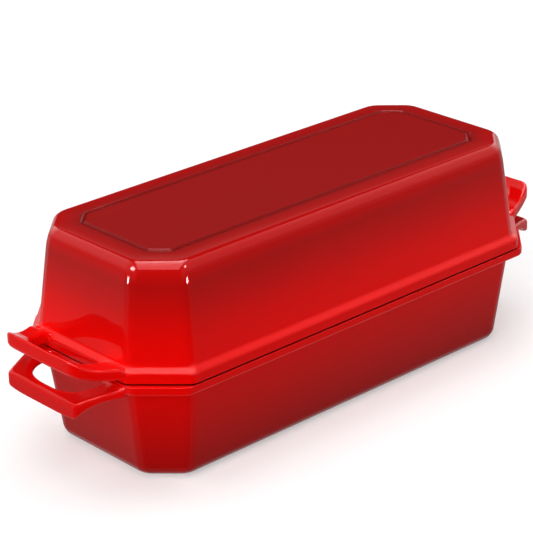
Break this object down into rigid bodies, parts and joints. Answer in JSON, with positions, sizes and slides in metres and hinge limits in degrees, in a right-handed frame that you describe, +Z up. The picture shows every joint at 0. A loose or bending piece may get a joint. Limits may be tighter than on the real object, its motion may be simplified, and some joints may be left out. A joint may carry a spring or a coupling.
{
  "type": "lidded cast iron loaf pan",
  "caption": "Enamelled cast iron loaf pan with a deep lid, an eight-sided outline and loop handles at both ends of pan and lid.",
  "frame": {"origin": "middle of the flat base, on the table", "axes": "+Z up, +X along the pan through its handles, +Y across it"},
  "size_m": [0.336, 0.123, 0.1192],
  "materials": {
    "pan_enamel": "glossy red vitreous enamel",
    "lid_enamel": "glossy red vitreous enamel"
  },
  "bodies": {
    "root": {"pan": "pan_enamel", "lid": "lid_enamel"}
  },
  "joints": []
}
